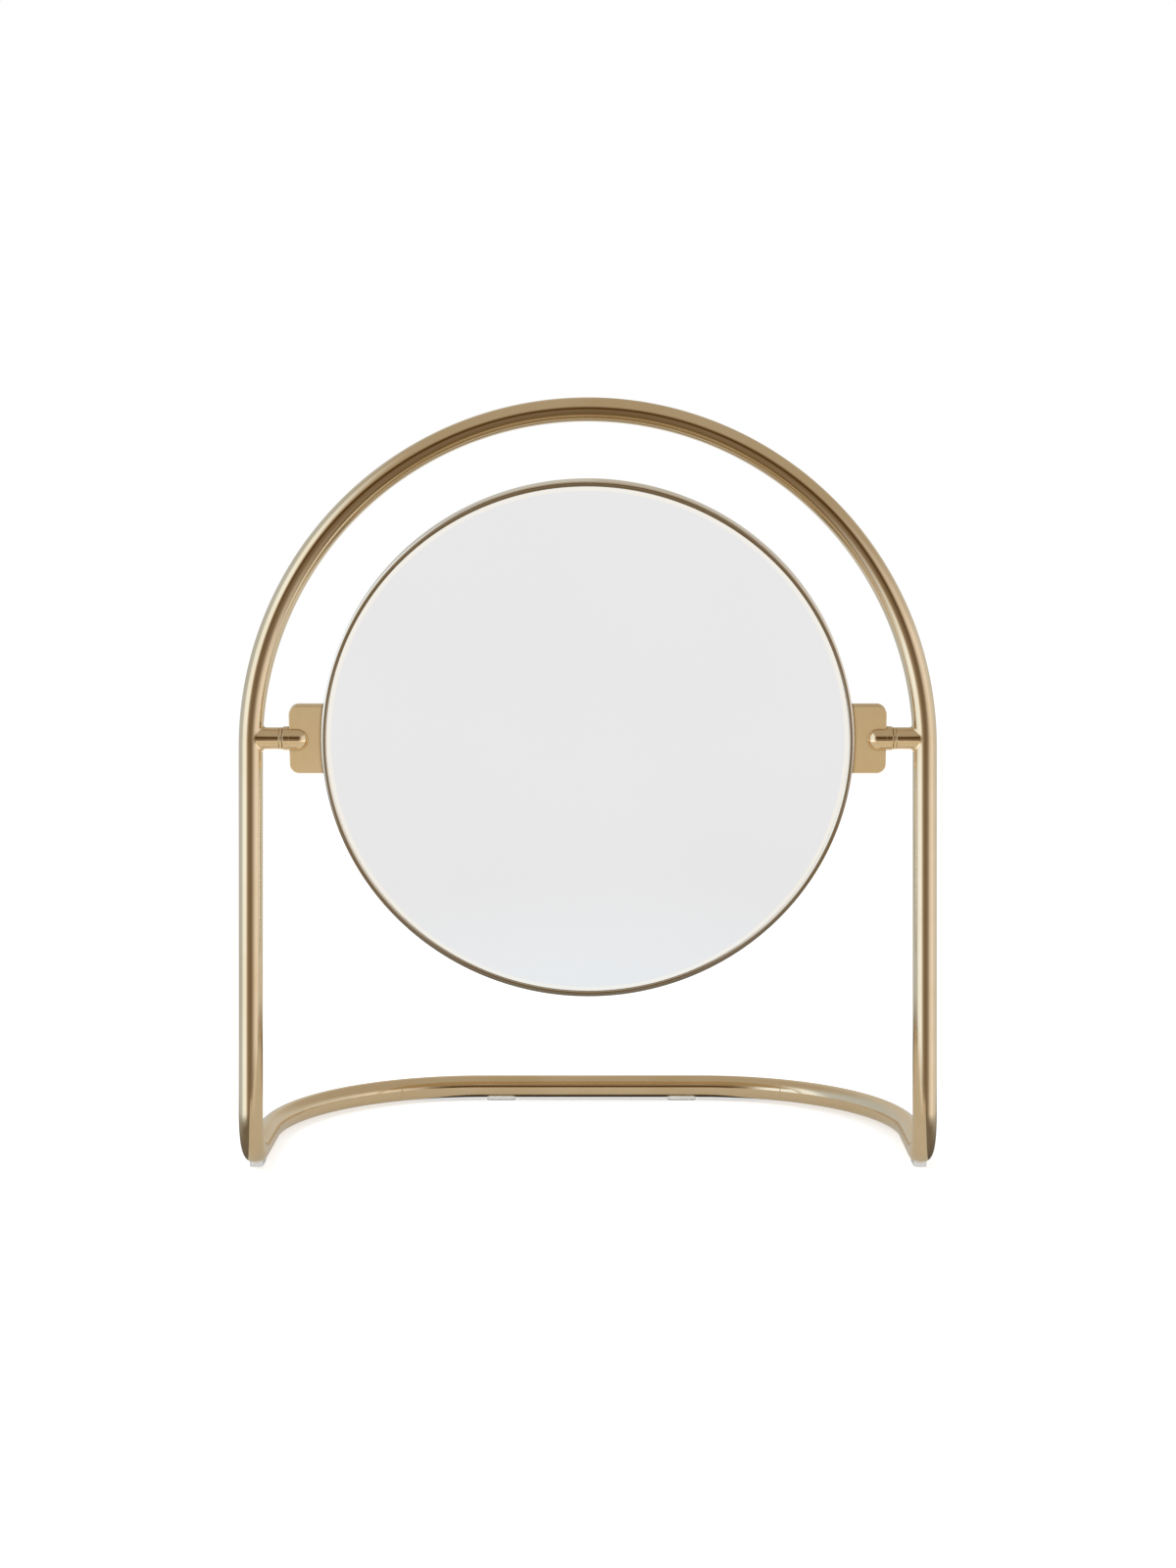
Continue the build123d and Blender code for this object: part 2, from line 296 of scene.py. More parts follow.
class Graph:
    """A node tree being wired, with a short call for each step."""

    def __init__(self, tree: bpy.types.NodeTree) -> None:
        """Empties the tree."""
        self.tree = tree
        tree.nodes.clear()

    def add(self, kind: str, inputs: dict[Any, Any] | None = None, **settings: Any) -> bpy.types.Node:
        """Adds a node, sets its options and joins or sets its inputs.

        Args:
            kind: The node's type, without its ShaderNode prefix.
            inputs: A socket to join, or a value to set, for each input.
            **settings: The node's own options.

        Returns:
            The new node.
        """
        node = self.tree.nodes.new("ShaderNode" + kind)
        for name, value in settings.items():
            setattr(node, name, value)
        for name, value in (inputs or {}).items():
            if isinstance(value, bpy.types.NodeSocket):
                self.tree.links.new(value, node.inputs[name])
            else:
                node.inputs[name].default_value = value
        return node

    def maths(self, operation: str, first: Any, second: Any = 0.0) -> bpy.types.NodeSocket:
        """The result of one sum on two numbers."""
        return self.add("Math", {0: first, 1: second}, operation=operation).outputs[0]

    def times(self, first: Any, second: Any) -> bpy.types.NodeSocket:
        """The product of two numbers."""
        return self.maths("MULTIPLY", first, second)

    def span(
        self, value: Any, low: float, high: float, to_low: float = 0.0, to_high: float = 1.0
    ) -> bpy.types.NodeSocket:
        """A number carried from one span to another, and held inside it."""
        inputs = {"Value": value, "From Min": low, "From Max": high, "To Min": to_low, "To Max": to_high}
        return self.add("MapRange", inputs).outputs["Result"]

    def noise(self, vector: Any, scale: float, detail: float = 2.0) -> bpy.types.NodeSocket:
        """Soft noise of about one blotch for each 1/scale of the vector."""
        inputs = {"Vector": vector, "Scale": scale, "Detail": detail}
        return self.add("TexNoise", inputs).outputs["Fac"]

    def mix(self, factor: Any, first: Any, second: Any) -> bpy.types.NodeSocket:
        """A colour between two colours."""
        return self.add("Mix", {0: factor, 6: first, 7: second}, data_type="RGBA").outputs[2]

    def blend(self, factor: Any, first: bpy.types.Node, second: bpy.types.Node) -> bpy.types.Node:
        """A shader between two shaders."""
        return self.add("MixShader", {0: factor, 1: first.outputs[0], 2: second.outputs[0]})

    def bump(self, height: Any, depth: float, normal: Any = None) -> bpy.types.NodeSocket:
        """Raises the surface by height times depth.

        Args:
            height: The height, from 0 to 1.
            depth: Millimetres for a height of 1.
            normal: The normal of the surface below, where that is raised too.

        Returns:
            The new normal.
        """
        inputs = {"Height": height, "Distance": depth * MM, "Strength": 1.0}
        if normal is not None:
            inputs["Normal"] = normal
        return self.add("Bump", inputs).outputs["Normal"]

    def background(self, colour: Any, strength: float = 1.0) -> bpy.types.Node:
        """A world of one colour, or of a socket's colours."""
        return self.add("Background", {"Color": colour, "Strength": strength})

    def sky_place(self) -> bpy.types.NodeSocket:
        """The direction looked in, for a world."""
        return self.add("TexCoord").outputs["Generated"]

    def own_place(self) -> bpy.types.NodeSocket:
        """Object coordinates, which are metres in the shared frame."""
        return self.add("TexCoord").outputs["Object"]

    def map_place(self) -> bpy.types.Node:
        """The piece's own map, split into metres along it and turns round it."""
        return self.add("SeparateXYZ", {0: self.add("UVMap", uv_map="Place").outputs[0]})

    def seen_directly(self, path: bpy.types.Node) -> bpy.types.NodeSocket:
        """1 for the camera's rays, also behind clear plastic, and 0 for others."""
        return self.maths("MAXIMUM", path.outputs["Is Camera Ray"], path.outputs["Is Transmission Ray"])

    def wrapped_place(self, along: float, around: float) -> bpy.types.NodeSocket:
        """The piece's map bent round into a tube, so that patterns on it have no seam.

        Args:
            along: Units for each metre along the piece.
            around: Radius of the tube, in units.

        Returns:
            The vector (metres x along, around x cos turn, around x sin turn).
        """
        split = self.map_place()
        angle = self.times(split.outputs[1], 2 * np.pi)
        parts = {
            0: self.times(split.outputs[0], along),
            1: self.times(self.maths("COSINE", angle), around),
            2: self.times(self.maths("SINE", angle), around),
        }
        return self.add("CombineXYZ", parts).outputs[0]

    def close(self, shader: bpy.types.Node) -> None:
        """Sends a shader to the output."""
        self.add("OutputMaterial", {0: shader.outputs[0]})


def new_material(name: str) -> tuple[bpy.types.Material, Graph]:
    """Makes a material with no nodes in it yet.

    Args:
        name: The material's name.

    Returns:
        The material, and the graph to wire its nodes in.
    """
    material = bpy.data.materials.new(name)
    material.use_nodes = True
    return material, Graph(material.node_tree)


# The map bent into a tube for noise, as units for each metre along and the tube's radius: long
# lines on a bar, and rings round an axis. Lines with no direction have FINE_LINES to the metre.
LONG_LINES = (40.0, 16.0)
FINE_LINES = 5200.0
RING_LINES = (FINE_LINES, 2.2)

# How much of the handling marks and of the lines shows in the colour and in the wear.
MARKS_IN_TONE = 0.35
MARKS_IN_WEAR = 0.7
LINES_IN_WEAR = 0.6

LACQUER_ROUGHNESS = 0.06
LACQUER_IOR = 1.48
SILICONE_IOR = 1.41
# Painted shade: the colour mixed in close to other pieces, darkening the joints as shade would.
JOINT_PAINTED_SHADE: Colour = (0.30, 0.19, 0.08, 1.0)


@dataclass(frozen=True)
class Brass:
    """Lacquered brass, with the marks of how it was worked.

    Attributes:
        name: The material's name.
        clean: Colour of the bare metal.
        toned: Colour where the lacquer has let it darken a little.
        grain: Which way the lines run.
        roughness: Roughness between the marks.
        scatter: How much the marks add to it.
        line_depth: Depth of the lines, in millimetres.
        wave_depth: Depth of the slow waves in the surface, in millimetres.
        lacquer: Weight of the clear coat.
        brushed: How far the lines spread a highlight across them, from 0 to 1.
        painted_shade_reach: Width of the painted shade where another piece meets it, a dark line standing
            in for the shade there, in millimetres.
    """

    name: str
    clean: Colour
    toned: Colour
    grain: Grain
    roughness: float
    scatter: float
    line_depth: float
    wave_depth: float
    lacquer: float
    brushed: float = 0.0
    painted_shade_reach: float = 0.0

    def lines(self, graph: Graph) -> bpy.types.NodeSocket:
        """Fine lines as a height: long noise along the bar, or close rings round the axis.

        Args:
            graph: The material's graph.

        Returns:
            The height, from 0 to 1.
        """
        if self.grain is Grain.BLASTED:
            return graph.noise(graph.own_place(), FINE_LINES, detail=3.0)
        along, around = LONG_LINES if self.grain is Grain.ALONG else RING_LINES
        return graph.noise(graph.wrapped_place(along, around), 1.0, detail=3.0)

    def material(self) -> bpy.types.Material:
        """Wires the metal: toning and handling marks in blotches, lines and slow waves, with painted
        shade where another piece meets it.

        Returns:
            The material.
        """
        material, graph = new_material(self.name)
        place = graph.own_place()
        toning = graph.span(graph.noise(place, scale=34.0, detail=4.0), low=0.42, high=0.72)
        lines = self.lines(graph)
        marks = graph.span(graph.noise(place, scale=260.0, detail=5.0), low=0.55, high=0.8)
        tone = graph.maths("ADD", toning, graph.times(marks, MARKS_IN_TONE))
        colour = graph.mix(graph.span(tone, low=0.0, high=1.0 + MARKS_IN_TONE), self.clean, self.toned)
        # Painted shade: an ambient-occlusion node darkens the colour where other pieces stand close.
        if self.painted_shade_reach:
            reach = {"Distance": self.painted_shade_reach * MM}
            open_air = graph.add("AmbientOcclusion", reach, samples=12).outputs["AO"]
            painted_shade = graph.span(open_air, low=0.50, high=0.90, to_low=1.0, to_high=0.0)
            colour = graph.mix(painted_shade, colour, JOINT_PAINTED_SHADE)
        wear = graph.maths("ADD", graph.times(lines, LINES_IN_WEAR), graph.times(marks, MARKS_IN_WEAR))
        roughest = self.roughness + self.scatter
        waves = graph.noise(place, scale=70.0, detail=1.0)
        inputs = {
            "Base Color": colour,
            "Metallic": 1.0,
            "Roughness": graph.span(wear, low=0.15, high=1.1, to_low=self.roughness, to_high=roughest),
            "Normal": graph.bump(lines, self.line_depth, graph.bump(waves, self.wave_depth)),
            "Coat Weight": self.lacquer,
            "Coat Roughness": LACQUER_ROUGHNESS,
            "Coat IOR": LACQUER_IOR,
        }
        if self.brushed:
            inputs["Anisotropic"] = self.brushed
            inputs["Tangent"] = graph.add("Tangent", direction_type="UV_MAP", uv_map="Place").outputs[0]
        graph.close(graph.add("BsdfPrincipled", inputs))
        return material


@dataclass(frozen=True)
class SilveredGlass:
    """Float glass silvered behind, with faint wiping marks and a painted highlight: a pale band at its
    edge.

    Attributes:
        name: The material's name.
        silver: One colour of the silvering, which varies slowly.
        cloud: The other colour.
        edge: Colour of the band, a painted highlight.
        painted_highlight_start: Distance from the middle where the band begins, in metres.
        painted_highlight_end: Distance where it has its full colour.
    """

    name: str
    silver: Colour
    cloud: Colour
    edge: Colour
    painted_highlight_start: float
    painted_highlight_end: float

    def material(self) -> bpy.types.Material:
        """Wires the mirror: the map's first axis is the distance from the middle in metres.

        Returns:
            The material.
        """
        material, graph = new_material(self.name)
        place = graph.own_place()
        # Painted highlight: a pale band near the edge stands in for the light that the glass's edge
        # catches.
        band = graph.span(graph.map_place().outputs[0], self.painted_highlight_start, self.painted_highlight_end)
        clouds = graph.span(graph.noise(place, scale=9.0, detail=2.0), low=0.3, high=0.7)
        silver = graph.mix(clouds, self.silver, self.cloud)
        slant = {"Vector": place, "Rotation": (0.0, 0.6, 0.0), "Scale": (1.0, 1.0, 6.0)}
        wipes = graph.noise(graph.add("Mapping", slant).outputs[0], scale=22.0, detail=5.0)
        inputs = {
            "Base Color": graph.mix(band, silver, self.edge),
            "Metallic": 1.0,
            "Roughness": graph.span(wipes, low=0.55, high=0.85, to_low=0.018, to_high=0.05),
            "Normal": graph.bump(graph.noise(place, scale=12.0, detail=0.0), depth=0.002),
            "Coat Weight": 0.0,
        }
        graph.close(graph.add("BsdfPrincipled", inputs))
        return material


@dataclass(frozen=True)
class Plain:
    """A small or hidden piece's finish: blotched colour, fine grain and a roughness that varies.

    Attributes:
        name: The material's name.
        first: One colour of its blotches.
        second: The other colour.
        metallic: 1 for a metal and 0 for anything else.
        roughness: Roughness where the grain is smoothest.
        grain_scale: Grains for each metre.
        grain_depth: Depth of the grain, in millimetres.
        clear: How much light goes straight through.
        glow: How much it glows in its own colour, a painted light that stands in for the pale floor's
            light coming through it.
    """

    name: str
    first: Colour
    second: Colour
    metallic: float
    roughness: float
    grain_scale: float
    grain_depth: float
    clear: float = 0.0
    glow: float = 0.0

    def material(self) -> bpy.types.Material:
        """Wires two noises, one for the colour and one for the grain.

        Returns:
            The material.
        """
        material, graph = new_material(self.name)
        place = graph.own_place()
        blotches = graph.span(graph.noise(place, scale=120.0, detail=4.0), low=0.35, high=0.65)
        grain = graph.noise(place, self.grain_scale, detail=3.0)
        roughest = self.roughness + 0.12
        inputs = {
            "Base Color": graph.mix(blotches, self.first, self.second),
            "Metallic": self.metallic,
            "Roughness": graph.span(grain, low=0.3, high=0.7, to_low=self.roughness, to_high=roughest),
            "Normal": graph.bump(grain, self.grain_depth),
            "Transmission Weight": self.clear,
            "IOR": SILICONE_IOR,
            # Painted light: the emission makes the piece glow as if lit through from the floor.
            "Emission Color": self.first,
            "Emission Strength": self.glow,
        }
        graph.close(graph.add("BsdfPrincipled", inputs))
        return material


BRASS_CLEAN: Colour = (0.87, 0.70, 0.47, 1.0)
BRASS_TONED: Colour = (0.81, 0.62, 0.38, 1.0)

POLISHED_TUBE = Brass(
    name="polished_tube",
    clean=BRASS_CLEAN,
    toned=BRASS_TONED,
    grain=Grain.ALONG,
    roughness=0.10,
    scatter=0.06,
    line_depth=0.0012,
    wave_depth=0.010,
    lacquer=0.4,
)
POLISHED_FITTING = Brass(
    name="polished_fitting",
    clean=BRASS_CLEAN,
    toned=BRASS_TONED,
    grain=Grain.BLASTED,
    roughness=0.12,
    scatter=0.06,
    line_depth=0.0006,
    wave_depth=0.004,
    lacquer=0.4,
    painted_shade_reach=1.6,
)
SATIN_PLATE = Brass(
    name="satin_plate",
    clean=(0.90, 0.73, 0.47, 1.0),
    toned=(0.83, 0.64, 0.37, 1.0),
    grain=Grain.BLASTED,
    roughness=0.36,
    scatter=0.12,
    line_depth=0.0030,
    wave_depth=0.004,
    lacquer=0.15,
    painted_shade_reach=1.6,
)
TURNED_RIM = Brass(
    name="turned_rim",
    clean=(0.89, 0.82, 0.70, 1.0),
    toned=(0.83, 0.74, 0.60, 1.0),
    grain=Grain.TURNED,
    roughness=0.17,
    scatter=0.08,
    line_depth=0.0020,
    wave_depth=0.003,
    lacquer=0.3,
)
BRUSHED_COVER = Brass(
    name="brushed_cover",
    clean=(0.85, 0.69, 0.46, 1.0),
    toned=(0.82, 0.655, 0.42, 1.0),
    grain=Grain.TURNED,
    roughness=0.30,
    scatter=0.12,
    line_depth=0.0040,
    wave_depth=0.003,
    lacquer=0.1,
    brushed=0.65,
)
SILVER = SilveredGlass(
    name="silvered_glass",
    silver=(0.800, 0.814, 0.834, 1.0),
    cloud=(0.785, 0.798, 0.816, 1.0),
    # A painted highlight: the pale band at the glass's edge.
    edge=(0.87, 0.855, 0.81, 1.0),
    painted_highlight_start=0.0951,
    painted_highlight_end=0.0956,
)
SPRING = Plain(
    name="spring_steel",
    first=(0.50, 0.46, 0.40, 1.0),
    second=(0.38, 0.35, 0.31, 1.0),
    metallic=1.0,
    roughness=0.28,
    grain_scale=2400.0,
    grain_depth=0.003,
)
PIN_STEEL = Plain(
    name="ground_steel",
    first=(0.60, 0.60, 0.60, 1.0),
    second=(0.48, 0.48, 0.49, 1.0),
    metallic=1.0,
    roughness=0.22,
    grain_scale=5200.0,
    grain_depth=0.002,
)
NYLON = Plain(
    name="natural_nylon",
    first=(0.80, 0.77, 0.70, 1.0),
    second=(0.74, 0.71, 0.63, 1.0),
    metallic=0.0,
    roughness=0.42,
    grain_scale=2600.0,
    grain_depth=0.004,
)
BOARD = Plain(
    name="grey_board",
    first=(0.30, 0.27, 0.23, 1.0),
    second=(0.24, 0.21, 0.18, 1.0),
    metallic=0.0,
    roughness=0.85,
    grain_scale=3200.0,
    grain_depth=0.02,
)
CLEAR_PAD = Plain(
    name="clear_pad",
    first=(0.97, 0.98, 0.97, 1.0),
    second=(0.93, 0.95, 0.94, 1.0),
    metallic=0.0,
    roughness=0.10,
    grain_scale=900.0,
    grain_depth=0.006,
    clear=0.90,
    # The pads' glow is painted light, standing in for the floor's light seen through them.
    glow=0.10,
)


class Finishes:
    """Makes each finish's material once and hands it out."""

    def __init__(self) -> None:
        """Starts with no materials."""
        self.made: dict[str, bpy.types.Material] = {}

    def get(self, finish: Brass | SilveredGlass | Plain) -> bpy.types.Material:
        """Finds a finish's material, and makes it the first time.

        Args:
            finish: The finish.

        Returns:
            Its material.
        """
        if finish.name not in self.made:
            self.made[finish.name] = finish.material()
        return self.made[finish.name]


FINISHES = Finishes()


def dress(
    name: str,
    skins: Sequence[Skin],
    finish: Brass | SilveredGlass | Plain,
    body: Body,
    node: str,
) -> bpy.types.Object:
    """Makes a piece from its skins, gives it a finish and hangs it on its body.

    Args:
        name: The piece's name.
        skins: Its closed surfaces.
        finish: Its finish.
        body: The body that it rides on.
        node: The CAD node that it stands for.

    Returns:
        The piece.
    """
    piece = make_object(name, skins)
    piece.data.materials.append(FINISHES.get(finish))
    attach(piece, body.value)
    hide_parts(node)
    LOG.info("%s: %d faces, %s", name, len(piece.data.polygons), finish.name)
    return piece


def finish_node(node: str, finish: Brass | SilveredGlass | Plain) -> None:
    """Gives a CAD node, whose shape stays, a finish in all its slots.

    Args:
        node: The node's name.
        finish: Its finish.
    """
    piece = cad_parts[node]
    material = FINISHES.get(finish)
    if not piece.material_slots:
        piece.data.materials.append(material)
    for slot in piece.material_slots:
        slot.material = material
    LOG.info("%s: kept, %s", node, finish.name)


# The loop of tube and rod


@dataclass(frozen=True)
class Stretch:
    """A straight or evenly bent stretch of centre line.

    Attributes:
        origin: Where it starts.
        along: Its direction there.
        out: The side there that faces out of the loop.
        towards: Direction to the centre of the bend. It has no effect on a straight stretch.
        bend: One over the bend's radius, and 0 where it is straight.
        length: Its length.
    """

    origin: Array
    along: Array
    out: Array
    towards: Array
    bend: float
    length: float

    def at(self, s: Array) -> tuple[Array, Array, Array]:
        """Points, directions and outer sides at distances s from the start.

        On a bend of radius R the angle is t = s / R. The point is the centre plus
        R (along sin t - towards cos t), and the direction is along cos t + towards sin t. The
        outer side turns with them as far as it lies in the plane of the bend.

        Args:
            s: Distances from the start.

        Returns:
            Three arrays of shape (distances, 3).
        """
        s = s[:, None]
        if self.bend == 0:
            ones = np.ones_like(s)
            return self.origin + self.along * s, self.along * ones, self.out * ones
        t = s * self.bend
        radius = 1 / self.bend
        centre = self.origin + self.towards * radius
        point = centre + radius * (self.along * np.sin(t) - self.towards * np.cos(t))
        direction = self.along * np.cos(t) + self.towards * np.sin(t)
        share = float(self.out @ self.towards)
        still = self.out - share * self.towards
        out = still + share * (self.towards * np.cos(t) - self.along * np.sin(t))
        return point, direction, out

    def then(self, length: float, towards: Array | None = None, radius: float = 0.0) -> "Stretch":
        """Carries on from this stretch's end.

        Args:
            length: The new stretch's length.
            towards: Direction to the centre of its bend, where it is bent.
            radius: Radius of its bend, and 0 where it is straight.

        Returns:
            The new stretch.
        """
        point, direction, out = (found[0] for found in self.at(np.array([self.length])))
        side = np.zeros(3) if towards is None else towards
        return Stretch(point, direction, out, side, 1 / radius if radius else 0.0, length)


@dataclass
class Loop:
    """The closed loop: bent tube for arch, legs, feet and base sides, solid rod behind."""

    radius: float = 4.5
    arch_radius: float = 125.5
    arch_y: float = -56.249
    arch_z: float = 160.0
    base_z: float = 5.5
    depth: float = 130.0
    corner_radius: float = 80.0
    foot_radius: float = 18.5
    seam_x: float = 81.0
    seam_chamfer: float = 0.15
    columns: int = 80
    bend_step: float = 1.25
    straight_step: float = 6.0
    tube: list[Stretch] = field(init=False)
    rod: list[Stretch] = field(init=False)

    def __post_init__(self) -> None:
        """Lays out the centre line, from the right seam over the arch and round to it again."""
        half = self.arch_radius - self.corner_radius
        corner_y = self.arch_y + self.depth - self.corner_radius
        seam = np.arccos((self.seam_x - half) / self.corner_radius)
        out = np.array([np.cos(seam), np.sin(seam), 0.0])
        along = np.array([np.sin(seam), -np.cos(seam), 0.0])
        start = np.array([half, corner_y, self.base_z]) + self.corner_radius * out
        side = corner_y - self.arch_y - self.foot_radius
        foot = self.foot_radius * np.pi / 2
        leg = self.arch_z - self.base_z - self.foot_radius
        up, back = np.array([0.0, 0.0, 1.0]), np.array([0.0, 1.0, 0.0])
        right = np.array([1.0, 0.0, 0.0])
        run = [Stretch(start, along, out, -out, 1 / self.corner_radius, self.corner_radius * seam)]
        run.append(run[-1].then(side))
        run.append(run[-1].then(foot, up, self.foot_radius))
        run.append(run[-1].then(leg))
        run.append(run[-1].then(self.arch_radius * np.pi, -right, self.arch_radius))
        run.append(run[-1].then(leg))
        run.append(run[-1].then(foot, back, self.foot_radius))
        run.append(run[-1].then(side))
        run.append(run[-1].then(self.corner_radius * seam, right, self.corner_radius))
        self.tube = list(run)
        rest = self.corner_radius * (np.pi / 2 - seam)
        inward = -run[-1].at(np.array([run[-1].length]))[2][0]
        last = run[-1].then(rest, inward, self.corner_radius)
        across = last.then(2 * half)
        self.rod = [last, across, across.then(rest, -back, self.corner_radius)]

    def bar(self, stretches: Sequence[Stretch]) -> Skin:
        """A round bar along stretches, with a small chamfer at each end.

        A ring's point at the angle a is the centre line's point plus r (out cos a + back sin a),
        where back is along x out, so that the rings never twist.

        Args:
            stretches: The centre line, in order.

        Returns:
            The bar's surface.
        """
        total = sum(part.length for part in stretches)
        ends = np.array([0.0, 1e-4, self.seam_chamfer, self.seam_chamfer + LEAD])
        places, points, alongs, outs = [], [], [], []
        start = 0.0
        for part in stretches:
            bent = np.degrees(part.length * part.bend) / self.bend_step
            count = int(np.ceil(max(bent, part.length / self.straight_step)))
            s = np.linspace(0, part.length, count + 1)[:-1]
            if start == 0:
                s = np.concatenate([ends, s[1:]])
            if part is stretches[-1]:
                s = np.concatenate([s, part.length - ends[::-1]])
            point, along, out = part.at(s)
            places.append(s + start)
            points.append(point)
            alongs.append(along)
            outs.append(out)
            start += part.length
        s = np.concatenate(places)
        centre, along, out = (np.concatenate(found)[:, None] for found in (points, alongs, outs))
        from_end = np.minimum(s, total - s)
        radius = self.radius - np.clip(self.seam_chamfer - from_end, 0, self.seam_chamfer)
        angle = full_turn(self.columns)[None, :, None]
        back = np.cross(along, out)
        rings = centre + radius[:, None, None] * (out * np.cos(angle) + back * np.sin(angle))
        return Skin(rings, False, s)

    def build(self) -> None:
        """Builds the bent tube and the rod behind."""
        tube, rod = [self.bar(self.tube)], [self.bar(self.rod)]
        dress("loop_tube", tube, POLISHED_TUBE, Body.STAND, "arch_tube")
        dress("loop_rod", rod, POLISHED_TUBE, Body.STAND, "base_rod")

    def leg_face(self, y: Array, z: Array) -> Array:
        """Finds the right leg's inner face, a straight round bar that bends over above the arch's centre.

        With e the height over the arch's centre, or 0 below it, the centre line lies at
        sqrt(A^2 - e^2) for an arch of radius A, and the face sqrt(R^2 - y^2) before it.

        Args:
            y: Distance from the leg's centre plane.
            z: Height.

        Returns:
            X of the face.
        """
        rise = np.maximum(z - self.arch_z, 0)
        centre = np.sqrt(self.arch_radius**2 - rise**2)
        return centre - np.sqrt(np.maximum(self.radius**2 - y**2, 0))


# The pivots

# Millimetres left open about the axis where a profile begins on it, and before a barrel's nose
# where the cheek would end in a point.
AXIS_GAP = 0.05
NOSE_GAP = 0.002


@dataclass
class Pivots:
    """The stub on each leg, its washer, and the barrel that turns beside them."""

    loop: Loop
    z: float = 163.0
    tilt: float = 11.0
    stub_radius: float = 4.1
    stub_end: float = 114.7
    stub_edge: float = 0.3
    stub_clear: float = 118.0
    stub_buried: float = 0.5
    fillet_side: float = 0.3
    fillet_top: float = 1.1
    washer_thickness: float = 1.2
    washer_bore: float = 2.05
    washer_edge: float = 0.22
    barrel_radius: float = 4.5
    barrel_nose: float = 103.5
    barrel_end: float = 113.4
    barrel_edge: float = 0.3
    barrel_bore: float = 3.01
    slot_half: float = 2.01
    tab_outer: float = 111.0
    columns: int = 72

    def centred(self, points: Array) -> Array:
        """Points built about the pivot axis, in their place on the stand."""
        return points + np.array([0.0, self.loop.arch_y, self.z])

    def leaned(self, points: Array) -> Array:
        """Points of the head built upright about the pivots, in their place at rest.

        They turn about X by the tilt: y goes to y cos t - z sin t and z to y sin t + z cos t.

        Args:
            points: Points, shape (..., 3).

        Returns:
            The points in their place.
        """
        x, y, z = np.moveaxis(points, -1, 0)
        t = np.radians(self.tilt)
        new_y = y * np.cos(t) - z * np.sin(t)
        new_z = y * np.sin(t) + z * np.cos(t)
        return self.centred(np.stack([x, new_y, new_z], axis=-1))

    def stub(self) -> Skin:
        """The right stub, with its braze run out on the leg in a small fillet.

        At the angle a round the stub the fillet is f = side + (top - side) sin^2 a wide. From
        w = 0 on the stub to 1 on the leg its radius is R + f (1 - cos 90w), and it stands
        f (1 - sin 90w) off the leg's own face there. Its last two rings close it inside the leg.

        Returns:
            The stub's surface.
        """
        angle = full_turn(self.columns)[None, :]
        reach = self.stub_radius
        corners = np.array([[AXIS_GAP, self.stub_end], [reach, self.stub_end], [reach, self.stub_clear]])
        bar = rounded(corners, np.full(3, self.stub_edge), closed=False)
        radius = bar[:, :1] * np.ones_like(angle)
        x = bar[:, 1:] * np.ones_like(angle)
        width = self.fillet_side + (self.fillet_top - self.fillet_side) * np.sin(angle) ** 2
        w = np.linspace(0, 1, 9)[:, None] * np.pi / 2
        fillet_radius = reach + width * (1 - np.cos(w))
        y, z = fillet_radius * np.cos(angle), fillet_radius * np.sin(angle)
        face = self.loop.leg_face(y, z + self.z)
        fillet_x = face - width * (1 - np.sin(w))
        inside = np.array([[0.8], [0.5]]) * reach * np.ones_like(angle)
        inside_x = (self.loop.arch_radius - self.stub_buried) * np.ones_like(inside)
        radius = np.concatenate([radius, fillet_radius, inside])
        x = np.concatenate([x, fillet_x, inside_x])
        rings = np.stack([x, radius * np.cos(angle), radius * np.sin(angle)], axis=-1)
        return Skin(rings)

    def washer(self) -> Skin:
        """The right washer: a rounded box section turned about the pivot axis.

        Returns:
            The washer's surface.
        """
        inner, outer = self.stub_end - self.washer_thickness, self.stub_end
        bore, reach = self.washer_bore, self.stub_radius
        corners = np.array([[bore, inner], [reach, inner], [reach, outer], [bore, outer]])
        return along_x(turned(rounded(corners, np.full(4, self.washer_edge)), self.columns, True))

    def cheek(self, way: float) -> Skin:
        """One cheek of the right barrel, before or behind the tab.

        At x the barrel's radius is r: a quarter circle over the ball nose and level after it.
        The cheek's outline there is the arc beyond the slot, from -a to a with
        cos a = h / r for a slot of half width h, closed by the slot's flat wall.

        Args:
            way: -1 for the front cheek and 1 for the rear.

        Returns:
            The cheek's surface.
        """
        ball = self.barrel_nose + self.barrel_radius
        first = ball - np.sqrt(self.barrel_radius**2 - self.slot_half**2) + NOSE_GAP
        nose = first + (ball - first) * (1 - np.cos(np.linspace(0, np.pi / 2, 16)))
        level = [109.0, 110.0, self.tab_outer - LEAD, self.tab_outer]
        x = np.concatenate([nose, level])[:, None]
        r = np.sqrt(self.barrel_radius**2 - np.maximum(ball - x, 0) ** 2)
        a = np.arccos(np.clip(self.slot_half / r, -1, 1))
        share = np.concatenate([[-1, -0.99], np.linspace(-0.94, 0.94, 33), [0.99, 1]])[None, :]
        arc_y, arc_z = r * np.cos(share * a), r * np.sin(share * a)
        chord = np.linspace(0.98, -0.98, 5)[None, :]
        chord_y = self.slot_half * np.ones_like(r) * np.ones_like(chord)
        chord_z = r * np.sin(a) * chord
        y = way * np.concatenate([arc_y, chord_y], axis=1)
        z = np.concatenate([arc_z, chord_z], axis=1)
        return Skin(np.stack([x * np.ones_like(y), y, z], axis=-1))

    def collar(self) -> Skin:
        """The unslotted end of the right barrel, a ring round the bush.

        Returns:
            The collar's surface.
        """
        bore, reach = self.barrel_bore, self.barrel_radius
        inner, outer = self.tab_outer, self.barrel_end
        corners = np.array([[bore, inner], [reach, inner], [reach, outer], [bore, outer]])
        radii = np.array([0.02, 0.01, self.barrel_edge, 0.1])
        return along_x(turned(rounded(corners, radii), self.columns, True))

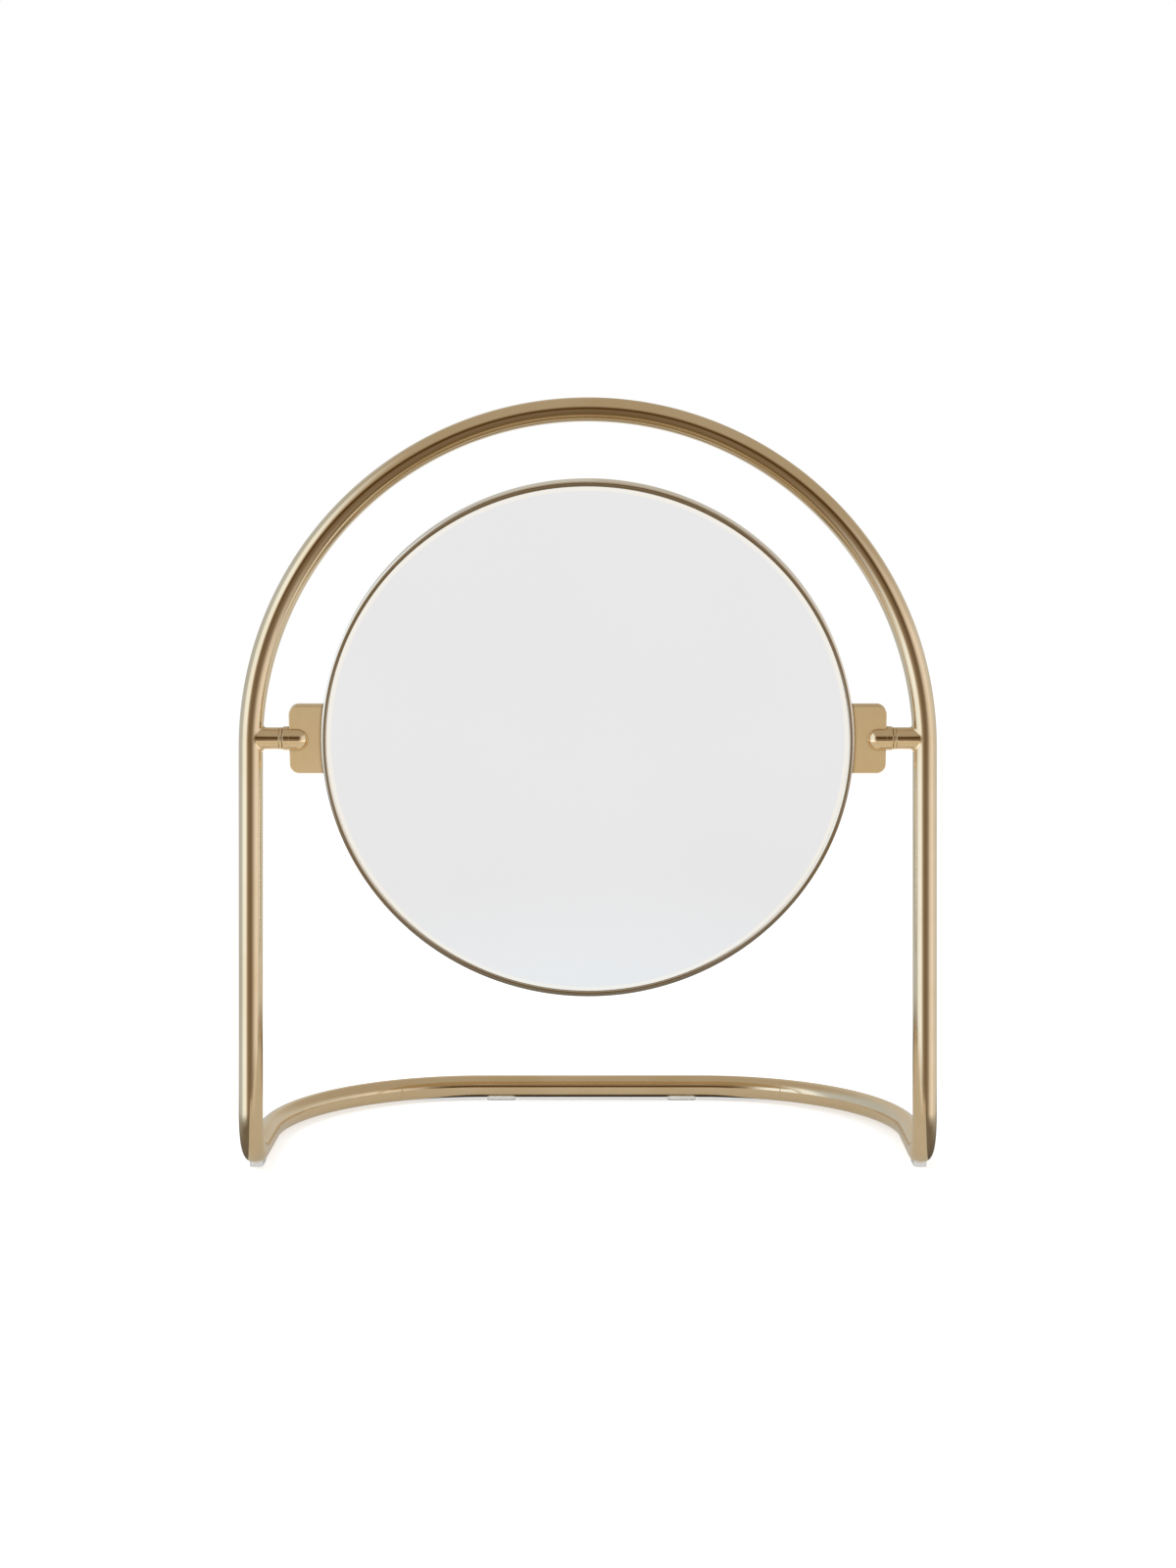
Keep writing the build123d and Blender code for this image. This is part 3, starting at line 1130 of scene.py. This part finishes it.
    def build(self) -> None:
        """Builds both pivots and finishes the pins and bushes inside them."""
        barrel = [self.cheek(-1.0), self.cheek(1.0), self.collar()]
        rows = (
            ("stub_brazed", [self.stub()], self.centred, POLISHED_FITTING, Body.STAND, "pivot_stub"),
            ("washer_turned", [self.washer()], self.centred, SATIN_PLATE, Body.STAND, "pivot_washer"),
            ("barrel_ball_nosed", barrel, self.leaned, POLISHED_FITTING, Body.HEAD, "pivot_barrel"),
        )
        for side in Side:
            for piece, skins, put, finish, body, node in rows:
                own = [moved(skin, side.placed(put(skin.rings))) for skin in skins]
                dress(side.named(piece), own, finish, body, side.named(node))
            finish_node(side.named("pivot_pin"), PIN_STEEL)
            finish_node(side.named("pivot_bush"), NYLON)


# The mirror head


@dataclass
class Head:
    """The framed mirror and its two tabs."""

    pivots: Pivots
    drop: float = 1.3
    radius: float = 99.0
    depth: float = 7.0
    wall: float = 1.2
    edge: float = 0.42
    lip_width: float = 2.0
    lip_depth: float = 0.8
    lip_edge: float = 0.25
    lip_tilt: float = 28.0
    lip_round: float = 1.57
    seat_gap: float = 0.1
    glass_thickness: float = 3.0
    glass_bevel: float = 0.4
    glass_edge: float = 0.05
    board_thickness: float = 1.2
    cover_thickness: float = 0.8
    cover_edge: float = 0.15
    cover_dish: float = 0.4
    cover_flat: float = 9.0
    cover_slope: float = 3.0
    spring_width: float = 1.0
    spring_thickness: float = 0.7
    spring_groove: float = 0.35
    spring_opening: float = 6.0
    spring_edge: float = 0.12
    groove_gap: float = 0.05
    tab_height: float = 26.0
    tab_thickness: float = 4.0
    tab_corner: float = 3.5
    tab_small_corner: float = 0.5
    tab_edge: float = 0.35
    tab_inset: float = 0.1
    tab_notch: float = 106.2
    tab_lead: float = 0.06
    columns: int = 256

    @property
    def seat(self) -> float:
        """Radius of the rim's inner wall."""
        return self.radius - self.wall

    @property
    def glass_back(self) -> float:
        """Depth of the glass's back, from the rim's front edge."""
        return self.lip_depth + self.glass_thickness

    @property
    def cover_back(self) -> float:
        """Depth of the cover's back, from the rim's front edge."""
        return self.glass_back + self.board_thickness + self.cover_thickness

    def placed(self, skin: Skin) -> Skin:
        """A round piece, built about its own axis with its depth from the rim's front edge."""
        shift = np.array([0.0, -self.depth / 2, -self.drop])
        return moved(skin, self.pivots.leaned(skin.rings + shift))

    def rim(self) -> Skin:
        """The band: a crowned lip in front, a thin wall and a groove behind, all edges rounded.

        The lip falls away from its middle at the tilt t, eased by an arc of radius r. The arc
        touches the rim's front plane, so the flats would meet r (1 / cos t - 1) before it.

        Returns:
            The rim's surface.
        """
        groove_back = self.cover_back + self.spring_thickness + self.groove_gap
        groove = self.seat + self.spring_groove
        lip, middle = self.radius - self.lip_width, self.radius - self.lip_width / 2
        tilt = np.radians(self.lip_tilt)
        peak = -self.lip_round * (1 / np.cos(tilt) - 1)
        shoulder = peak + self.lip_width / 2 * np.tan(tilt)
        corners = np.array(
            [
                [lip, shoulder],
                [middle, peak],
                [self.radius, shoulder],
                [self.radius, self.depth],
                [self.seat, self.depth],
                [self.seat, groove_back],
                [groove, groove_back],
                [groove, self.cover_back],
                [self.seat, self.cover_back],
                [self.seat, self.lip_depth],
                [lip, self.lip_depth],
            ]
        )
        front = [self.lip_edge, self.lip_round, self.lip_edge]
        behind = [self.edge, 0.2]
        groove_edges, seat_edges = [0.05] * 4, [0.1] * 2
        radii = np.array(front + behind + groove_edges + seat_edges)
        return self.placed(turned(rounded(corners, radii, steps=7), self.columns, True))

    def glass(self) -> Skin:
        """The glass, with a small bevel on its front edge.

        Returns:
            The glass's surface.
        """
        radius = self.seat - self.seat_gap
        bevel = self.glass_bevel
        corners = np.array(
            [
                [AXIS_GAP, self.lip_depth],
                [radius - bevel, self.lip_depth],
                [radius, self.lip_depth + bevel],
                [radius, self.glass_back],
                [AXIS_GAP, self.glass_back],
            ]
        )
        profile = rounded(corners, np.full(5, self.glass_edge), closed=False)
        return self.placed(turned(profile, self.columns, False))

    def cover(self) -> Skin:
        """The pressed cover, its middle set in by an eased step.

        Over the step, with u from 0 inside to 1 outside, the surface rises by
        dish x u^2 (3 - 2u).

        Returns:
            The cover's surface.
        """
        outer = self.seat - self.seat_gap
        flat = self.seat - self.cover_flat
        u = np.linspace(0, 1, 13)
        radius = flat - self.cover_slope + self.cover_slope * u
        rise = self.cover_dish * (u**2 * (3 - 2 * u) - 1)
        middle = np.linspace(0.05, 1, 7)[:-1] * radius[0]
        face_radius = np.concatenate([middle, radius])
        face_rise = np.concatenate([np.full(len(middle), rise[0]), rise])
        front = self.cover_back - self.cover_thickness
        edge = np.array([[outer, front], [outer, self.cover_back]])
        front_side = np.stack([face_radius, front + face_rise], axis=1)
        back_side = np.stack([face_radius, self.cover_back + face_rise], axis=1)[::-1]
        around = np.concatenate([front_side[-1:], edge, back_side[:1]])
        border = rounded(around, np.full(4, self.cover_edge), closed=False)
        profile = np.concatenate([front_side[:-1], border, back_side[1:]])
        return self.placed(turned(profile, self.columns, False))

    def spring(self) -> Skin:
        """The split spring ring, a rounded box section turned through less than a circle.

        Returns:
            The ring's surface.
        """
        outer = self.seat + self.spring_groove - self.groove_gap
        inner = outer - self.spring_width
        front, back = self.cover_back, self.cover_back + self.spring_thickness
        corners = np.array([[inner, front], [outer, front], [outer, back], [inner, back]])
        section = rounded(corners, np.full(4, self.spring_edge), steps=3)
        start = -90 + self.spring_opening / 2
        return self.placed(turned(section, self.columns, False, start, 360 - self.spring_opening))

    def tab(self) -> Skin:
        """The right tab: a plate with rounded edges, notched where the bush runs.

        The outline, inset by e (1 - cos w) at the depth T/2 - e (1 - sin w) for w from 0 to
        90 degrees, makes each face's rounded border. Its inset runs along its own normals.

        Returns:
            The tab's surface.
        """
        outer, half = self.pivots.tab_outer, self.tab_height / 2
        notch, mouth = self.tab_notch, self.pivots.barrel_bore
        root = self.seat + self.tab_inset
        corners = np.array(
            [
                [root, half],
                [outer, half],
                [outer, mouth],
                [notch, mouth],
                [notch, -mouth],
                [outer, -mouth],
                [outer, -half],
                [root, -half],
            ]
        )
        small, large = self.tab_small_corner, self.tab_corner
        radii = np.array([small, large, small, small, small, small, large, small])
        outline = rounded(corners, radii, steps=14)
        before, after = np.roll(outline, 1, axis=0), np.roll(outline, -1, axis=0)
        tangent = (after - before) / np.linalg.norm(after - before, axis=1, keepdims=True)
        inward = np.stack([tangent[:, 1], -tangent[:, 0]], axis=1)
        w = np.linspace(0, np.pi / 2, 6)
        inset = self.tab_edge * (1 - np.cos(w))
        depth = self.tab_thickness / 2 - self.tab_edge * (1 - np.sin(w))
        inset = np.append(inset, inset[-1] + self.tab_lead)
        depth = np.append(depth, depth[-1])
        inset = np.concatenate([inset[::-1], [0.0], inset])
        depth = np.concatenate([-depth[::-1], [0.0], depth])
        ring = outline[None] + inward[None] * inset[:, None, None]
        across = depth[:, None] * np.ones_like(ring[..., 0])
        return Skin(np.stack([ring[..., 0], across, ring[..., 1]], axis=-1))

    def build(self) -> None:
        """Builds the round pieces and both tabs."""
        dress("rim_turned", [self.rim()], TURNED_RIM, Body.HEAD, "rim")
        dress("glass_silvered", [self.glass()], SILVER, Body.HEAD, "mirror_glass")
        dress("cover_brushed", [self.cover()], BRUSHED_COVER, Body.HEAD, "rear_cover")
        dress("spring_ring", [self.spring()], SPRING, Body.HEAD, "retaining_ring")
        finish_node("backing_board", BOARD)
        tab = self.tab()
        for side in Side:
            put = moved(tab, side.placed(self.pivots.leaned(tab.rings)))
            dress(side.named("tab_satin"), [put], SATIN_PLATE, Body.HEAD, side.named("tab"))


@dataclass
class Pads:
    """The four clear pads that the loop stands on."""

    def build(self) -> None:
        """Finishes the pads, whose CAD shape stays."""
        for end in ("front", "rear"):
            for side in Side:
                finish_node(side.named(f"foot_pad_{end}"), CLEAR_PAD)


# The studio

WHITE: Colour = (1.0, 1.0, 1.0, 1.0)
ROOM_PLAIN: Colour = (0.62, 0.62, 0.62, 1.0)
FLOOR_PALE: Colour = (0.78, 0.78, 0.78, 1.0)
FLOOR_IN_METAL: Colour = (0.20, 0.18, 0.15, 1.0)

# The room that the metal sees, before ROOM_STRENGTH: the dark straight ahead, the ceiling, and
# what lies below eye level in front and at the sides.
ROOM_AHEAD: Colour = (0.045, 0.022, 0.003, 1.0)
ROOM_CEILING: Colour = (0.228, 0.205, 0.170, 1.0)
ROOM_BELOW: Colour = (0.085, 0.060, 0.032, 1.0)
ROOM_BESIDE: Colour = (0.34, 0.335, 0.32, 1.0)
ROOM_STRENGTH = 2.0

# Its walls: the light from each angle, in degrees from the front towards the right.
ROOM_WALLS = {
    -180: (0.60, 0.56, 0.48),
    -135: (0.52, 0.58, 0.64),
    -84: (0.56, 0.64, 0.74),
    -71: (1.00, 1.14, 1.32),
    -40: (1.06, 1.20, 1.38),
    -29: (0.56, 0.50, 0.44),
    -17: (0.28, 0.23, 0.17),
    -3: (0.20, 0.155, 0.11),
    14: (0.22, 0.175, 0.13),
    28: (0.42, 0.37, 0.32),
    44: (0.76, 0.73, 0.74),
    66: (0.95, 0.92, 0.92),
    84: (0.76, 0.77, 0.80),
    128: (0.62, 0.62, 0.60),
    180: (0.60, 0.56, 0.48),
}

COOL_TINT = (0.935, 0.966, 1.0)
WARM_TINT = (1.0, 0.95, 0.84)


@dataclass
class Studio:
    """Camera, floor, surroundings and lamps."""

    loop: Loop
    eye_x: float = 11.0
    eye_back: float = 960.0
    eye_z: float = 240.0
    lens: float = 59.18
    shift: tuple[float, float] = (-0.0187, -0.161)
    floor_half: float = 4.0
    floor_glow: float = 0.55
    floor_in_metal: tuple[float, float] = (0.15, 0.24)
    aim: tuple[float, float, float] = (0.0, 0.0, 0.13)

    def camera(self) -> None:
        """The camera, level and square to the mirror, shifted to the photograph's frame."""
        data = bpy.data.cameras.new("studio_camera")
        data.lens = self.lens
        data.sensor_width = 36.0
        data.shift_x, data.shift_y = self.shift
        data.clip_start, data.clip_end = 0.05, 50.0
        camera = bpy.data.objects.new("studio_camera", data)
        camera.location = (self.eye_x * MM, (self.loop.arch_y - self.eye_back) * MM, self.eye_z * MM)
        camera.rotation_euler = (np.pi / 2, 0.0, 0.0)
        bpy.context.scene.camera = put_in_scene(camera)

    def world(self) -> None:
        """The room: white to the camera and behind clear plastic, a lit studio to the metal.

        The metal sees a ring of soft boxes, the walls. Straight ahead, above eye level, it is
        dark, over it all lies a dimmer ceiling, lifted on the left, and underneath it is dark.
        """
        world = bpy.data.worlds.new("studio_world")
        world.use_nodes = True
        world.cycles.sampling_method = "NONE"
        bpy.context.scene.world = world
        graph = Graph(world.node_tree)
        path = graph.add("LightPath")
        studio = graph.background(self.room(graph), ROOM_STRENGTH)
        metal = graph.blend(path.outputs["Is Glossy Ray"], graph.background(ROOM_PLAIN), studio)
        room = graph.blend(graph.seen_directly(path), metal, graph.background(WHITE))
        graph.add("OutputWorld", {0: room.outputs[0]})

    def room(self, graph: Graph) -> bpy.types.NodeSocket:
        """Colours the room that the metal sees.

        The angle from the front, towards the right, is arctan(x / -y) of the direction looked in,
        and its height is z. Each part is mixed in over a span of the angle or the height.

        Args:
            graph: The world's graph.

        Returns:
            The colour in each direction.
        """
        across, along, high = graph.add("SeparateXYZ", {0: graph.sky_place()}).outputs
        angle = graph.maths("ARCTAN2", across, graph.times(along, -1.0))
        aside = graph.maths("ABSOLUTE", angle)
        walls = self.walls(graph, angle)
        ahead = graph.span(aside, np.radians(16), np.radians(34), to_low=1.0, to_high=0.0)
        gloom = graph.times(ahead, graph.span(high, low=-0.08, high=0.06))
        walls = graph.mix(gloom, walls, ROOM_AHEAD)
        left = graph.span(angle, np.radians(-30), np.radians(-60))
        lift = graph.maths("SUBTRACT", high, graph.times(left, 0.30))
        above = graph.mix(graph.span(lift, low=0.22, high=0.52), walls, ROOM_CEILING)
        beside = graph.span(aside, np.radians(75), np.radians(110))
        below = graph.mix(beside, ROOM_BELOW, ROOM_BESIDE)
        return graph.mix(graph.span(graph.times(high, -1.0), low=0.30, high=0.60), above, below)

    def walls(self, graph: Graph, angle: bpy.types.NodeSocket) -> bpy.types.NodeSocket:
        """Runs the walls' colours round the room, at half their light so that they fit the ramp.

        Args:
            graph: The world's graph.
            angle: The angle from the front, towards the right.

        Returns:
            The colour there.
        """
        ramp = graph.add("ValToRGB", {0: graph.span(angle, -np.pi, np.pi)})
        marks = ramp.color_ramp.elements
        while len(marks) < len(ROOM_WALLS):
            marks.new(1.0)
        for mark, (degrees, light) in zip(marks, ROOM_WALLS.items()):
            mark.position = (degrees + 180) / 360
            mark.color = (*[value / ROOM_STRENGTH for value in light], 1.0)
        return ramp.outputs[0]

    def floor(self) -> None:
        """A pale floor: white to the camera except for the object's soft shadow.

        The metal sees it darker, and only near the object. Farther off it sees the room instead.
        """
        half = self.floor_half
        mesh = bpy.data.meshes.new("studio_floor")
        points = [(-half, -half, 0.0), (half, -half, 0.0), (half, half, 0.0), (-half, half, 0.0)]
        mesh.from_pydata(points, [], [(0, 1, 2, 3)])
        floor = put_in_scene(bpy.data.objects.new("studio_floor", mesh))
        material, graph = new_material("studio_floor")
        path = graph.add("LightPath")
        glossy = path.outputs["Is Glossy Ray"]
        surface = graph.add("BsdfDiffuse", {"Color": graph.mix(glossy, FLOOR_PALE, FLOOR_IN_METAL)})
        strength = graph.times(graph.seen_directly(path), self.floor_glow)
        glow = graph.add("Emission", {"Color": WHITE, "Strength": strength})
        lit = graph.add("AddShader", {0: surface.outputs[0], 1: glow.outputs[0]})
        away = graph.add("VectorMath", {0: graph.own_place()}, operation="LENGTH").outputs["Value"]
        beyond = graph.times(graph.span(away, *self.floor_in_metal), glossy)
        graph.close(graph.blend(beyond, lit, graph.add("BsdfTransparent")))
        mesh.materials.append(material)

    def square_lamp(self, name: str, size: float) -> bpy.types.Object:
        """Makes a square lamp that the camera doesn't see.

        Args:
            name: The lamp's name.
            size: Its side, in metres.

        Returns:
            The lamp.
        """
        data = bpy.data.lights.new(name, "AREA")
        data.shape = "SQUARE"
        data.size = size
        lamp = put_in_scene(bpy.data.objects.new(name, data))
        lamp.visible_camera = False
        return lamp

    def soft_box(self, name: str, place: tuple[float, float, float], size: float, power: float) -> None:
        """A square soft lamp aimed at the middle of the object, unseen by the metal.

        Args:
            name: The lamp's name.
            place: Where it stands, in metres.
            size: Its side, in metres.
            power: Its power, in watts.
        """
        lamp = self.square_lamp(name, size)
        lamp.data.energy = power
        lamp.location = place
        lamp.visible_glossy = False
        way = np.array(self.aim) - np.array(place)
        flat = float(np.hypot(way[0], way[1]))
        lamp.rotation_euler = (float(np.arctan2(flat, -way[2])), 0.0, float(np.arctan2(-way[0], way[1])))

    def floor_fill(
        self,
        name: str,
        light: float,
        half: float,
        receivers: Sequence[str],
        tint: tuple[float, float, float],
        place: tuple[float, float] = (0.0, 0.0),
    ) -> None:
        """A sheet of light on the floor, facing up, that only some pieces catch.

        A sheet of area A that looks as bright as white times the light gives pi x A x light watts.

        Args:
            name: The lamp's name.
            light: How bright the sheet looks from above, with 1 for white.
            half: Half its side, in metres.
            receivers: The pieces that catch it.
            tint: Its colour.
            place: Its middle on the floor, in metres.
        """
        lamp = self.square_lamp(name, 2 * half)
        lamp.data.energy = light * np.pi * lamp.data.size**2
        lamp.data.color = tint
        lamp.data.use_shadow = False
        lamp.location = (*place, 0.0002)
        lamp.rotation_euler = (np.pi, 0.0, 0.0)
        group = bpy.data.collections.new(name + "_receivers")
        for receiver in receivers:
            group.objects.link(bpy.data.objects[receiver])
        lamp.light_linking.receiver_collection = group

    def build(self) -> None:
        """Sets up everything that isn't part of the object."""
        bpy.context.scene.view_settings.view_transform = "Standard"
        self.camera()
        self.world()
        self.floor()
        self.soft_box("key_lamp", (-0.9, -0.7, 1.3), size=0.9, power=9.0)
        self.soft_box("side_lamp", (1.0, -0.5, 1.0), size=0.9, power=4.0)
        pieces = ("tab_satin", "stub_brazed", "barrel_ball_nosed", "washer_turned")
        fittings = [side.named(piece) for side in Side for piece in pieces]
        bars = ["loop_tube", "loop_rod"]
        self.floor_fill("mirror_fill", 0.89, self.floor_half, ["glass_silvered"], COOL_TINT)
        self.floor_fill("fitting_fill", 0.53, 0.5, fittings, WARM_TINT)
        self.floor_fill("loop_fill", 0.38, 0.13, bars, WARM_TINT, place=(0.0, -0.06))
        LOG.info("studio: camera, floor, world and lamps")


def main() -> None:
    """Builds the sub-assemblies in order, then the studio."""
    logging.basicConfig(level=logging.INFO, format="%(name)s %(message)s")
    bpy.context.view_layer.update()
    loop = Loop()
    loop.build()
    pivots = Pivots(loop)
    pivots.build()
    Head(pivots).build()
    Pads().build()
    Studio(loop).build()


if __name__ == "__main__":
    main()
